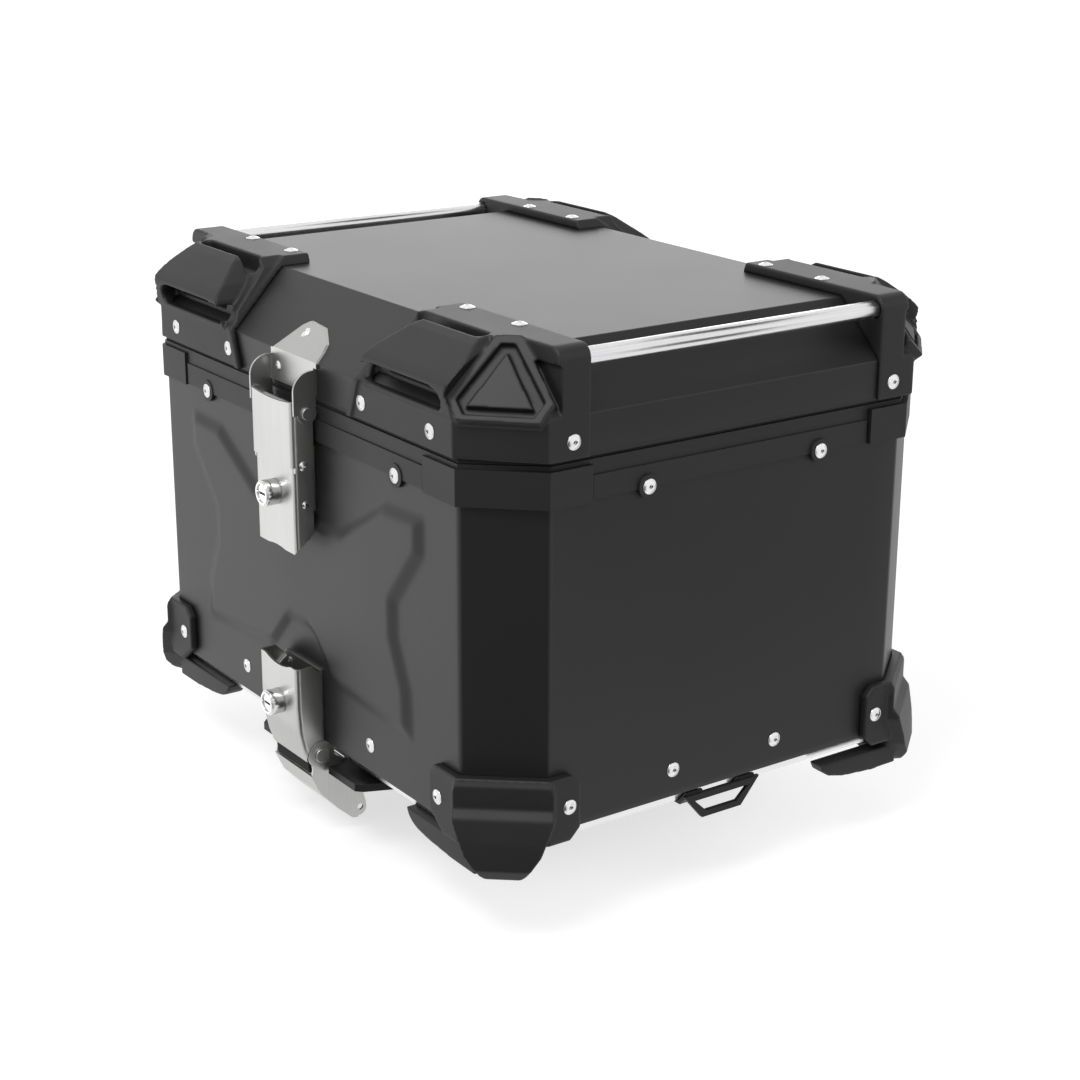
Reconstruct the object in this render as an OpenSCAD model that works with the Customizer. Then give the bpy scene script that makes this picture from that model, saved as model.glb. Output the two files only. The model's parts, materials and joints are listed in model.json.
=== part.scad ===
// Hard top case, about 45 litres, with quick-release base plate.
// Millimetres. +Z up, latch side toward -Y, hinge side toward +Y, rails along the +X and -X sides.
// Origin: underside of the base plate, middle of its bolt pattern.

/* [Case body] */
// overall width of the folded wall, side to side
body_w = 416; // [408:1:424]
// overall depth of the folded wall, latch side to hinge side
body_d = 332; // [326:1:338]
// wall sheet thickness
sheet = 2; // [1.6:0.1:2.4]
// how far the pressed panel on the latch side stands out
emboss_h = 3; // [1.5:0.1:3.4]

/* [Lid] */
// height of the flat lid panel above the base plate
lid_top = 300; // [294:1:304]
// rail tube diameter
rail_d = 10; // [8:0.5:11]

/* [Fasteners] */
// head diameter of the dome-head blind rivets
rivet_d = 9; // [7:0.5:10]

/* [Base plate] */
// bolt spacing side to side
bolt_x = 120; // [100:1:140]
// bolt spacing front to back
bolt_y = 100; // [80:1:120]
// bolt hole diameter
bolt_d = 6.6; // [5.5:0.1:8.5]

/* [Hidden] */
$fn = 48;
hx = body_w/2;      // 208
hy = body_d/2;      // 166
lx = hx + 5;        // lid guard face, 213
ly = hy + 3;        // 169
rim_z = 241;        // top of the rim frame
gap_z = 243.6;      // underside of the lid
axis_y = hy + 7.2;  // lid hinge axis
axis_z = 241.2;
hp = [-174.1, 236.7];   // hasp hinge (y, z)
rp = [-169.2, 16.6];    // release lever pivot (y, z)
lock_z = 184;
rl_z = 49;

// ---------- plan outlines ----------
function c0(x, y, a, b) = b*x + a*(y - b);
function ia(x, y, a, b, t) = (x - t) - (c0(x, y, a, b) - t*norm([a, b]) - a*(y - t))/b;
module octp(x, y, a, b) polygon([[x-a,-y],[x,-(y-b)],[x,y-b],[x-a,y],[-(x-a),y],[-x,y-b],[-x,-(y-b)],[-(x-a),-y]]);
// wall outline moved inward by t (negative: outward)
module oct_t(t) { a = ia(hx, hy, 32, 38.5, t); octp(hx-t, hy-t, a, a*38.5/32); }
// lid guard outline moved inward by t
module oct_l(t) { a = ia(lx, ly, 38, 36.4, t); octp(lx-t, ly-t, a, a*36.4/38); }
module slab(z0, z1) translate([0,0,z0]) linear_extrude(z1 - z0) children();
module ring_t(t0, t1, z0, z1) slab(z0, z1) difference() { oct_t(t0); oct_t(t1); }
module ring_l(t0, t1, z0, z1) slab(z0, z1) difference() { oct_l(t0); oct_l(t1); }
// extrude a (x,z) outline along y, a (y,z) outline along x
module along_y(y0, y1) translate([0, y1, 0]) rotate([90,0,0]) linear_extrude(y1 - y0) children();
module along_x(x0, x1) translate([x0,0,0]) rotate([90,0,90]) linear_extrude(x1 - x0) children();
module cyl_x(y, z, r, x0, x1) translate([x0, y, z]) rotate([0,90,0]) cylinder(r=r, h=x1-x0);
module cyl_y(x, z, r, y0, y1) translate([x, y1, z]) rotate([90,0,0]) cylinder(r=r, h=y1-y0);

// ---------- dome-head blind rivet, head toward +Z, seat at z = 0 ----------
module rivet(grip, rh = rivet_d/2, rs = 2, hh = 1.6) {
  rr = (rh*rh + hh*hh)/(2*hh);
  difference() {
    intersection() { cylinder(r=rh, h=hh+1); translate([0,0,hh-rr]) sphere(r=rr, $fn=64); }
    translate([0,0,hh-0.9]) cylinder(r=rs*0.45, h=2);
  }
  translate([0,0,-grip]) cylinder(r=rs, h=grip);
  translate([0,0,-grip-1.6]) cylinder(r=rs*1.5, h=1.6);
}
module riv_x(x, y, z, grip, rh=rivet_d/2, rs=2, hh=1.6) translate([x,y,z]) rotate([0, x>0?90:-90, 0]) rivet(grip, rh, rs, hh);
module riv_y(x, y, z, grip, rh=rivet_d/2, rs=2, hh=1.6) translate([x,y,z]) rotate([y>0?-90:90, 0, 0]) rivet(grip, rh, rs, hh);
module hole_x(y, z, r=2.1) cyl_x(y, z, r, -hx-20, hx+20);
module hole_y(x, z, r=2.1) cyl_y(x, z, r, -hy-20, hy+20);

// ---------- wall ----------
ho = [[50,172],[100,201.5],[142,203],[142,178],[113,142],[113,122],[126,93],[128,60],[42,66],[16,94]];
hi = [[54,164],[102,192.5],[133,194],[133,181],[104,145],[104,120],[117,91],[118,71],[38,75],[12,103]];
function full(h) = concat(h, [for (i=[len(h)-1:-1:0]) [-h[i][0], h[i][1]]]);
// outline a fraction t of the way from the flank's foot to its crest
function between(t) = [for (k=[0:len(ho)-1]) ho[k]*(1-t) + hi[k]*t];
module emboss(t, y0, y1) along_y(y0, y1) polygon(full(between(t)));
module wall_holes() {
  for (s=[-1,1]) {
    hole_x(s*63.1, 219.6); hole_x(s*117.1, 41.3); hole_x(s*38.8, 42);
    hole_y(s*114.4, 219.6); hole_y(s*159.9, 41.3); hole_y(s*78, 42);
    for (z=[33, 66]) cyl_y(s*16, z, 1.6, -hy-5, -hy+5);
    for (z=[180, 208]) cyl_y(s*14, z, 1.6, -hy-5, -hy+5);
  }
  for (x=hinge_x) cyl_y(x, 227, 2.1, hy-10, hy+10);
}
module tub_shell() color([0.13,0.13,0.14]) difference() {
  union() {
    ring_t(0, sheet, 25, 237.5);
    emboss(0.35, -hy-emboss_h, -hy+0.6);
    emboss(0.35, hy-0.6, hy+emboss_h);
  }
  emboss(0.62, -hy-emboss_h+sheet, -hy+sheet+1);
  emboss(0.62, hy-sheet-1, hy+emboss_h-sheet);
  wall_holes();
}
// floor pan with turned-up flange inside the wall
module pan(o, zt) intersection() {
  slab(10, zt) oct_t(sheet + o);
  along_y(-400, 400) polygon([[-hx+sheet+o,zt],[-hx+sheet+o,25.5+0.4*o],[-hx+11+0.5*o,15+o],[hx-11-0.5*o,15+o],[hx-sheet-o,25.5+0.4*o],[hx-sheet-o,zt]]);
  along_x(-400, 400) polygon([[-hy+sheet+o,zt],[-hy+sheet+o,25.5+0.4*o],[-hy+9+0.5*o,15+o],[hy-9-0.5*o,15+o],[hy-sheet-o,25.5+0.4*o],[hy-sheet-o,zt]]);
}
module tub_floor() color([0.16,0.16,0.17]) difference() {
  pan(0, 50);
  pan(1.5, 51);
  wall_holes();
  for (x=[-75,75]) for (y=[-110,0,110]) translate([x,y,0]) cylinder(r=2.6, h=30);
}
module dock_rails() color([0.45,0.45,0.46]) for (s=[-1,1]) {
  difference() {
    along_y(-140, 140) translate([s*75,0]) polygon([[-18,15],[-18,13],[-12,13],[-9,10.5],[9,10.5],[12,13],[18,13],[18,15]]);
    for (y=[-110,0,110]) translate([s*75,y,0]) cylinder(r=2.6, h=30);
    along_y(-141, 141) translate([s*75,0]) polygon([[-11,15.1],[-11,14.6],[-8,12.1],[8,12.1],[11,14.6],[11,15.1]]);
  }
  for (y=[-110,0,110]) translate([s*75,y,0]) { translate([0,0,12.1]) cylinder(r=2.5, h=5.9); translate([0,0,16.5]) cylinder(r=5, h=1.5); }
}
module floor_mat() color([0.08,0.08,0.08]) difference() {
  slab(18.2, 20.2) oct_t(12.5);
  for (x=[-150:30:150]) translate([x-1,-140,19.4]) cube([2,280,2]);
}

// ---------- black plastic frame on the wall's top edge ----------
module rim_frame() color([0.05,0.05,0.055]) difference() {
  union() {
    ring_t(-1.6, 4, 218.5, 232);
    ring_t(-0.6, 4, 232, rim_z);
    ring_t(sheet, 4, 213, rim_z);
    difference() {
      slab(217.5, 238.5) difference() { octp(hx+3.5, hy+2.5, 35, 38); oct_t(-0.2); }
      translate([-144,-300,200]) cube([288,600,60]);
      translate([-300,-102,200]) cube([600,204,60]);
    }
    for (s=[-1,1]) for (t=[-1,1]) {
      cyl_x(t*63.1, 219.6, 7, s>0?hx:-hx-3, s>0?hx+3:-hx);
      cyl_y(t*114.4, 219.6, 7, s>0?hy:-hy-2.3, s>0?hy+2.3:-hy);
    }
  }
  ring_t(0, sheet, 200, 237.5);
  wall_holes();
  rim_grooves();
}
module rim_grooves() {
  for (s=[-1,1]) for (t=[-1,1]) {
    translate([s>0?208.4:-214, t>0?100.4:-101.8, 217]) cube([5.6,1.4,21.6]);
    translate([t>0?142.4:-143.8, s>0?166.3:-172, 217]) cube([1.4,5.7,21.6]);
  }
}
module rim_seal() color([0.03,0.03,0.03]) difference() {
  ring_t(0.2, 3.8, rim_z, gap_z-0.3);
  ring_t(1.4, 2.6, gap_z-1.3, gap_z+1);
}
module rim_rivets() color([0.8,0.8,0.8]) for (s=[-1,1]) for (t=[-1,1]) {
  riv_x(s*(hx+3), t*63.1, 219.6, 7);
  riv_y(t*114.4, s*(hy+2.3), 219.6, 6.3);
}

// ---------- bottom corner guards: built for +X, -Y ----------
module foot_skin() difference() {
  slab(20, 60) difference() { octp(hx+5.5, hy+5, 33.5, 40.5); oct_t(0); }
  translate([-300,-300,0]) cube([450,600,100]);
  translate([0,-109,0]) cube([300,400,100]);
  // eased top corners of the two wings
  along_y(-300, -hy) polygon([[149,61],[149,53],[157,61]]);
  along_x(hx, 300) polygon([[-108,61],[-108,53],[-116,61]]);
  along_x(hx, 300) polygon([[-108,19],[-108,28],[-117,19]]);
  along_y(-300, -hy) polygon([[149,19],[149,32],[166,19]]);
}
module foot_block() translate([192,-146.75,0]) rotate([0,0,50.27]) intersection() {
  along_x(-40, 40) polygon([[0.1,60],[-5.5,60],[-8,56],[-8,43],[-12,38],[-15,24],[-17,9],[-13,2],[-8,0],[0,0],[6,3],[18,14.8],[0.1,14.8]]);
  along_y(-60, 60) polygon([[-27,61],[27,61],[29,52],[29,36],[22,17],[13,4],[7,-1],[-7,-1],[-13,4],[-22,17],[-29,36],[-29,52]]);
}
module foot_body() difference() { union() { foot_skin(); foot_block(); } slab(14.8, 80) oct_t(0); }
module foot_front() { foot_body();
  along_y(-163, -150) polygon([[112,14.8],[114.5,10],[118,7],[124,4.5],[136,2.5],[160,0.5],[185,0],[185,14.8]]);
}
module foot_rear() { foot_body();
  along_x(199, 210) polygon([[-140,14.8],[-140,2],[-120,1.5],[-96,3.5],[-84,6.5],[-79,10],[-77,14.8]]);
}
module fg_holes() { hole_x(-117.1, 41.3); hole_y(159.9, 41.3); }
module foot_guard_front_right() color([0.05,0.05,0.055]) difference() { foot_front(); fg_holes(); }
module foot_guard_front_left() color([0.05,0.05,0.055]) mirror([1,0,0]) difference() { foot_front(); fg_holes(); }
module foot_guard_rear_right() color([0.05,0.05,0.055]) mirror([0,1,0]) difference() { foot_rear(); fg_holes(); }
module foot_guard_rear_left() color([0.05,0.05,0.055]) mirror([1,0,0]) mirror([0,1,0]) difference() { foot_rear(); fg_holes(); }
module foot_rivets() color([0.8,0.8,0.8]) for (s=[-1,1]) for (t=[-1,1]) {
  riv_x(s*(hx+5.5), t*117.1, 41.3, 9);
  riv_y(t*159.9, s*(hy+5), 41.3, 8.5);
}
module wall_rivets() color([0.8,0.8,0.8]) for (s=[-1,1]) for (t=[-1,1]) {
  riv_x(s*hx, t*38.8, 42, sheet+1.5);
  riv_y(t*78, s*hy, 42, sheet+1.5);
}
// black loops under both side edges, for straps
module tie_loops() color([0.04,0.04,0.04]) for (m=[0,1]) mirror([m,0,0]) {
  along_x(204.5, 207.5) difference() {
    polygon([[-29,21],[29,21],[15,4.5],[-15,4.5]]);
    polygon([[-20.5,16.5],[20.5,16.5],[12,8.5],[-12,8.5]]);
  }
  difference() {
    along_y(-26, 26) polygon([[160,12.6],[160,14.9],[197.3,14.9],[203.9,22.6],[206,22.6],[206,20],[204,18],[199,12.6]]);
    along_y(-14, 14) polygon([[195,12],[195,24],[210,24],[210,12]]);
  }
}

// ---------- hinge on the +Y side ----------
knu = 10; hinge_w = 126; klen = hinge_w/knu; hinge_x = [-50,-25,0,25,50];
module knuckle(i) difference() { cyl_x(axis_y, axis_z, 4, -hinge_w/2+i*klen+0.3, -hinge_w/2+(i+1)*klen-0.3); }
module hinge_tub_leaf() color([0.2,0.2,0.2]) difference() {
  union() {
    translate([-hinge_w/2, hy+1.6, 220.5]) cube([hinge_w, 1.6, 15.5]);
    for (i=[0:2:knu-1]) { knuckle(i);
      along_x(-hinge_w/2+i*klen+0.3, -hinge_w/2+(i+1)*klen-0.3) polygon([[hy+1.6,232],[hy+3.2,232],[axis_y+2,237.8],[axis_y,axis_z],[axis_y-4,axis_z],[hy+1.6,238]]); }
  }
  cyl_x(axis_y, axis_z, 2.04, -100, 100);
  for (x=hinge_x) cyl_y(x, 227, 2.1, hy, hy+8);
}
module hinge_lid_leaf() color([0.2,0.2,0.2]) difference() {
  union() {
    translate([-hinge_w/2, ly-2, 249]) cube([hinge_w, 1.6, 14]);
    for (i=[1:2:knu-1]) { knuckle(i);
      along_x(-hinge_w/2+i*klen+0.3, -hinge_w/2+(i+1)*klen-0.3) polygon([[ly-2,251],[ly-0.4,251],[axis_y+2,244.6],[axis_y,axis_z],[axis_y-4,axis_z],[ly+0.2,245.5],[ly-2,248]]); }
  }
  cyl_x(axis_y, axis_z, 2.04, -100, 100);
  for (x=hinge_x) cyl_y(x, 256, 2.1, hy-5, hy+12);
}
module hinge_pin() color([0.7,0.7,0.7]) { cyl_x(axis_y, axis_z, 2, -64.5, 64.5); for (x=[-65.5,64.5]) cyl_x(axis_y, axis_z, 3, x, x+1); }
module hinge_tub_rivets() color([0.6,0.6,0.6]) for (x=hinge_x) riv_y(x, hy+3.2, 227, 7.2, 3.6, 2, 1.3);
module hinge_lid_rivets() color([0.6,0.6,0.6]) for (x=hinge_x) riv_y(x, ly-0.4, 256, 6.2, 3.6, 2, 1.3);

// ---------- lid ----------
// bevelled lid body grown outward by o, top grown by ot
module lid_body(o, ot, z0) {
  bx = lx-2; by = ly-2; zx = 267.5; zy = 266; tx = 177; ty = 125;
  nx = norm([bx-tx, lid_top-zx]); ny = norm([by-ty, lid_top-zy]);
  // bevel line: (lid_top-zx)*x + (bx-tx)*z = k + o*n
  kx = (lid_top-zx)*bx + (bx-tx)*zx + o*nx;
  ky = (lid_top-zy)*by + (by-ty)*zy + o*ny;
  zt = lid_top + ot;
  ax = (kx - (bx-tx)*zt)/(lid_top-zx);  bz = (kx - (lid_top-zx)*(bx+o))/(bx-tx);
  ay = (ky - (by-ty)*zt)/(lid_top-zy);  bw = (ky - (lid_top-zy)*(by+o))/(by-ty);
  difference() {
   intersection() {
    slab(z0, zt) oct_l(2-o);
    along_y(-400, 400) polygon([[-bx-o,z0-1],[-bx-o,bz],[-ax,zt],[ax,zt],[bx+o,bz],[bx+o,z0-1]]);
    along_x(-400, 400) polygon([[-by-o,z0-1],[-by-o,bw],[-ay,zt],[ay,zt],[by+o,bw],[by+o,z0-1]]);
   }
   // corner facets under the guards' diagonal pads
   for (m=[0,1]) mirror([m,0,0]) for (n=[0,1]) mirror([0,n,0])
     pad_frame() translate([-60,-60,352.6+o]) cube([120,240,60]);
  }
}
module lid_holes() {
  for (s=[-1,1]) { hole_x(s*116.4, 253.8); hole_y(s*153, 254.2); hole_y(s*80.7, 254.2);
    for (x=[-153.7,-102.2,102.2,153.7]) translate([x, s*110.7, 280]) cylinder(r=2.1, h=40);
    cyl_y(s*17, 256, 1.6, -ly-5, -ly+15); }
  for (x=hinge_x) cyl_y(x, 256, 2.1, hy-10, hy+12);
  translate([-5, -154.5, 275.44]) rotate([39,0,0]) translate([0,0,-12]) cylinder(r=1.6, h=20);
}
module lid_shell() color([0.15,0.15,0.16]) difference() {
  lid_body(0, 0, 246);
  lid_body(-sheet, -sheet, 240);
  lid_holes();
}
module lid_frame() color([0.05,0.05,0.055]) difference() {
  union() { ring_l(2, 6.2, gap_z, 246); ring_l(2+sheet, 6.2, gap_z, 261); }
  lid_holes();
}
// corner guard, built for +X, -Y
pad_o = [[-7.3,113.4],[7.3,113.4],[29.4,74.9],[23,62.5],[-23,62.5],[-29.4,74.9]];
module pad_frame() rotate([0,0,43.6]) rotate([52.8,0,0]) translate([36,0,0]) children();
module guard_solid() {
  // skin over the lid corner
  intersection() {
    lid_body(2, 6, gap_z+0.2);
    along_y(-300, -105) polygon([[64,240],[74,268],[91,310],[300,310],[300,240]]);
  }
  // raised rib along the inner edge
  intersection() {
    lid_body(3.6, 6, gap_z+0.2);
    along_y(-300, -112) polygon([[64,240],[74,268],[91,310],[97,310],[80,268],[69.5,240]]);
  }
  // base of the hood, above the front bevel
  intersection() {
    along_x(60, 176) polygon([[-ly,gap_z+0.2],[-ly,265],[-163.5,277],[-148,291],[-139,300],[-139,306],[-120,306],[-120,gap_z+0.2]]);
    along_y(-300, -105) polygon([[64,240],[74,268],[88,300],[94,306],[172,306],[176,240]]);
  }
  // arched hood that stands off it
  intersection() {
    along_x(80, 176) polygon([[-168,264],[-170,266.5],[-173.2,280.5],[-172.6,284.5],[-169,288],[-151,302],[-145.5,305.2],[-139,306],[-130,306],[-150,264]]);
    along_y(-300, -105) polygon([[84,262],[87.5,283],[93,291],[106,303],[112,306],[166,306],[176,292],[176,262]]);
  }
  // top plate
  slab(lid_top-4, lid_top+6) polygon([[94,-106],[94,-128],[100,-139],[170,-139],[180,-128],[lx,-126],[lx,-109],[209,-105],[120,-105]]);
  // diagonal pad
  pad_frame() translate([0,0,325]) linear_extrude(34.1) polygon(pad_o);
  // side post
  translate([188,-124,gap_z+0.2]) cube([lx-188, 19, lid_top+4-gap_z]);
}
module lid_guard() difference() {
  guard_solid();
  lid_body(0, 0, 200);
  slab(200, 246.2) oct_l(2);
  // see-through pocket behind the hood
  along_x(98, 160) polygon([[-135.5,320],[-135.5,295.2],[-166,269.8],[-175,265],[-175,281.5],[-162,281.5],[-144.5,295.5],[-144.5,320]]);
  // mouth with round ends under the hood's lip
  along_y(-180, -160.5) { translate([91,268]) square([70,12.6]);
    translate([91,274.3]) circle(r=6.3); translate([161,274.3]) circle(r=6.3); }
  // slot with round ends behind it
  slab(296, 312) { translate([98,-144.5]) square([62,9]);
    translate([98,-140]) circle(r=4.5); translate([160,-140]) circle(r=4.5); }
  // nothing stands in front of the diagonal pad
  pad_frame() translate([0,0,359.1]) linear_extrude(30) polygon(pad_o);
  // triangular groove round the raised middle
  pad_frame() translate([0,0,354.9]) linear_extrude(6) difference() {
    polygon([[-4,108],[4,108],[24,75],[19.2,66.4],[-19.2,66.4],[-24,75]]);
    polygon([[0,102.9],[18.3,70.8],[-18.3,70.8]]);
  }
  // post top corner and rail socket
  along_y(-130,-100) difference() { translate([205,298]) square([12,12]); translate([205,298]) circle(r=8); }
  cyl_y(205.5, 297.5, rail_d/2+0.05, -116, -100);
  lid_holes();
}
module lid_guard_front_right() color([0.05,0.05,0.055]) lid_guard();
module lid_guard_front_left() color([0.05,0.05,0.055]) mirror([1,0,0]) lid_guard();
module lid_guard_rear_right() color([0.05,0.05,0.055]) mirror([0,1,0]) lid_guard();
module lid_guard_rear_left() color([0.05,0.05,0.055]) mirror([1,0,0]) mirror([0,1,0]) lid_guard();
module lid_rails() color([0.75,0.75,0.76]) for (s=[-1,1]) difference() {
  cyl_y(s*205.5, 297.5, rail_d/2, -115.5, 115.5);
  for (t=[-1,1]) cyl_y(s*205.5, 297.5, rail_d/2-1.5, t>0?100:-120, t>0?120:-100);
}
module lid_guard_rivets() color([0.8,0.8,0.8]) for (s=[-1,1]) for (t=[-1,1]) {
  riv_x(s*lx, t*116.4, 253.8, 6.2);
  riv_y(t*153, s*ly, 254.2, 6.2);
  riv_y(t*80.7, s*ly, 254.2, 6.2);
  for (x=[102.2, 153.7]) translate([t*x, s*110.7, lid_top+6]) rivet(8);
}

// ---------- upper latch ----------
module latch_bracket() color([0.7,0.7,0.7]) difference() {
  union() {
    along_x(-25.6, 25.6) polygon([[-ly+2,246.5],[-ly+0.5,246.5],[-ly+0.5,266.3],[-ly+2,266]]);
    // tab lying on the bevel
    intersection() {
      along_x(-25.6, 30) polygon([[-ly+2,263],[-ly+0.5,263],[-ly+0.5,266.7],[-126.94,300.37],[-126,299.2],[-ly+2,266]]);
      along_y(-200, -100) polygon([[-25.6,260],[-25.6,264],[-22.5,267],[-14,279.5],[-10,282],[9,281],[23.5,275],[26,272],[29,266],[29,260]]);
    }
    for (s=[-1,1]) along_x(s>0?25.6:-27.1, s>0?27.1:-25.6) union() {
      polygon([[-ly+2,246.5],[-ly+2,262],[-171,262],[-183,250],[-183,236],[-169.5,236],[-169.5,246.5]]);
      intersection() { translate([-171,250]) circle(r=12); translate([-190,240]) square([22,30]); }
      translate(hp) circle(r=6.4);
    }
  }
  cyl_x(hp[0], hp[1], 2.5, -40, 40);
  lid_holes();
}
module bracket_rivets() color([0.8,0.8,0.8]) {
  for (s=[-1,1]) riv_y(s*17, -ly+0.5, 256, 7.7, 3, 1.5, 1.1);
  translate([-5, -154.5, 275.44]) rotate([39,0,0]) translate([0,0,2.02]) rivet(4.1, 3.4, 1.5, 1.3);
}
module hasp_pin() color([0.75,0.75,0.75]) { cyl_x(hp[0], hp[1], 2.5, -27.1, 27.1); for (x=[-28.6,27.1]) cyl_x(hp[0], hp[1], 3.8, x, x+1.5); }
module hasp_outer() color([0.72,0.72,0.72]) difference() {
  union() {
    along_x(-25.3, 25.3) polygon([[-183.9,204],[-183.9,244],[-182.4,244],[-182.4,204]]);
    for (s=[-1,1]) along_x(s>0?23.9:-25.3, s>0?25.3:-23.9) union() {
      polygon([[-182.5,204.6],[-182.5,244],[-178,244],[-170,239],[-169.6,232],[-169.6,204.6]]);
      translate([-176.4,204.6]) circle(r=6.8);
    }
  }
  translate([0,-170,404.2]) rotate([90,0,0]) cylinder(r=162, h=20, $fn=160);
  cyl_x(hp[0], hp[1], 2.55, -40, 40);
  cyl_x(-176.5, 204.6, 1.6, -40, 40);
}
module hasp_inner() color([0.72,0.72,0.72]) difference() {
  union() {
    along_x(-23.7, 23.7) polygon([[-182.4,150],[-182.4,226],[-180.9,226],[-180.9,150]]);
    for (s=[-1,1]) along_x(s>0?22.2:-23.7, s>0?23.7:-22.2)
      polygon([[-182.3,152],[-182.3,226],[-172,226],[-169.8,222],[-169.8,162],[-173,158]]);
  }
  translate([0,-170,98]) rotate([90,0,0]) cylinder(r=52.5, h=20, $fn=96);
  cyl_y(0, lock_z, 7, -190, -170);
  cyl_x(-176.5, 204.6, 1.6, -40, 40);
  cyl_x(-175, 180, 1.6, -40, 40);
}
module hasp_rivets() color([0.75,0.75,0.75]) for (s=[-1,1]) {
  riv_x(s*25.3, -176.5, 204.6, 3.1, 3, 1.5, 1.1);
  riv_x(s*23.7, -175, 180, 1.5, 2.4, 1.5, 0.9);
}
// lock body on a plate whose outer face is y = yf, inner face y = yf+1.5
module lock_body(yf, z, out) difference() {
  union() {
    cyl_y(0, z, 8, yf-out, yf);
    cyl_y(0, z, 6.9, yf-1, yf+2);
    cyl_y(0, z, 8.6, yf+1.5, yf+4);
  }
  cyl_y(0, z, 5.5, yf-out-1, yf+5);
  translate([0, yf-out, z]) rotate([90,0,0]) translate([0,0,-0.8]) difference() { cylinder(r=9, h=2); cylinder(r=7.2, h=2); }
}
module lock_plug(yf, z, out) difference() {
  cyl_y(0, z, 5.45, yf-out+0.8, yf+4.6);
  translate([-3.6, yf-out-1, z-0.7]) cube([7.2, 5, 1.4]);
}
module latch_lock_body() color([0.75,0.75,0.75]) lock_body(-182.4, lock_z, 9.8);
module latch_lock_plug() color([0.75,0.75,0.75]) { lock_plug(-182.4, lock_z, 9.8);
  cyl_y(0, lock_z, 3, -178, -174.6);
  translate([-3.5,-176.6,lock_z-15]) cube([7,2,18.5]); }
module latch_keeper() color([0.72,0.72,0.72]) difference() {
  union() {
    translate([-20,-hy-1.5,174]) cube([40,1.5,40]);
    for (s=[-1,1]) translate([s>0?11:-18,0,0]) {
      translate([0,-179,188.2]) cube([7,179-hy-1.4,2]);
      translate([0,-179,181.5]) cube([7,1.5,8]);
    }
  }
  for (s=[-1,1]) for (z=[180,208]) cyl_y(s*14, z, 1.6, -hy-5, -hy+5);
}
module keeper_rivets() color([0.75,0.75,0.75]) for (s=[-1,1]) for (z=[180,208]) riv_y(s*14, -hy-1.5, z, 3.5, 2.8, 1.5, 1);

// ---------- lower release latch ----------
module release_bracket() color([0.65,0.65,0.65]) difference() {
  union() {
    translate([-21.8,-hy-1.5,26]) cube([43.6,1.5,46]);
    for (s=[-1,1]) along_x(s>0?20.3:-21.8, s>0?21.8:-20.3) union() {
      polygon([[-hy,26],[-hy,70],[-176,62],[-180,48],[-179,24],[-174,18],[-168,18]]);
      translate(rp) circle(r=6);
    }
  }
  cyl_x(rp[0], rp[1], 3, -40, 40);
  for (s=[-1,1]) for (z=[33,66]) cyl_y(s*16, z, 1.6, -hy-5, -hy+5);
}
module release_rivets() color([0.75,0.75,0.75]) for (s=[-1,1]) for (z=[33,66]) riv_y(s*16, -hy-1.5, z, z<50 ? 5.2 : 3.6, 2.8, 1.5, 1);
module release_cover() color([0.74,0.74,0.74]) difference() {
  union() {
    along_x(-23.6, 23.6) polygon([[-185,76],[-185,50],[-184,34],[-181.5,22],[-178.2,13],[-176.8,13.6],[-180,22.4],[-182.5,34.2],[-183.5,50],[-183.5,76]]);
    for (s=[-1,1]) along_x(s>0?22.1:-23.6, s>0?23.6:-22.1)
      polygon([[-184,50],[-184,76],[-174,76],[-168.2,70],[-168.2,27],[-170,24],[-180.6,22.2],[-183,34]]);
  }
  translate([0,-160,116]) rotate([90,0,0]) cylinder(r=43, h=40, $fn=96);
  cyl_y(0, rl_z, 7, -190, -175);
  cyl_y(0, rl_z, 8.7, -183.5, -175);
  cyl_x(rp[0], rp[1], 9.5, -40, 40);
}
module release_lock_body() color([0.75,0.75,0.75]) lock_body(-185, rl_z, 9);
module release_lock_plug() color([0.75,0.75,0.75]) { lock_plug(-185, rl_z, 9);
  cyl_y(0, rl_z, 3, -181, -177.5);
  translate([-3.5,-179.4,rl_z-3.5]) cube([7,1.9,15.5]); }
module release_pin() color([0.75,0.75,0.75]) { cyl_x(rp[0], rp[1], 3, -23.8, 23.8); for (x=[-25.4,23.8]) cyl_x(rp[0], rp[1], 4.6, x, x+1.6); }
module release_lever() color([0.72,0.72,0.72]) difference() {
  union() {
    for (s=[-1,1]) along_x(s>0?22.1:-23.6, s>0?23.6:-22.1) union() {
      translate(rp) circle(r=9);
      translate([-152,5]) circle(r=6);
      translate([-143.6,-26]) circle(r=5.6);
      polygon([[-175,11],[-175.4,8],[-176.2,3],[-170,-9],[-158,-22],[-148,-31],[-144,-31.6],[-138.4,-27],[-138.2,-23],[-146.2,3],[-150,8.5],[-159.5,14.2],[-162,20],[-165,24]]);
    }
    along_x(-23.6, 23.6) polygon([[-176.9,3.6],[-170.6,-9.6],[-158.4,-22.8],[-148.2,-32],[-144,-32.6],[-143.8,-31],[-147.6,-30.4],[-157.4,-21.6],[-169.4,-8.6],[-175.5,4]]);
  }
  cyl_x(rp[0], rp[1], 3.05, -40, 40);
  cyl_x(-152, 5, 2.02, -40, 40);
  cyl_x(-142.4, -25.8, 2, -40, 40);
}
// return spring of the release lever, coiled on its pin
module release_spring() color([0.5,0.5,0.5]) {
  for (i=[0:9]) translate([-8+i*1.7, rp[0], rp[1]]) rotate([0,90,0]) rotate_extrude() translate([4.2,0]) circle(r=0.95);
}
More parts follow.
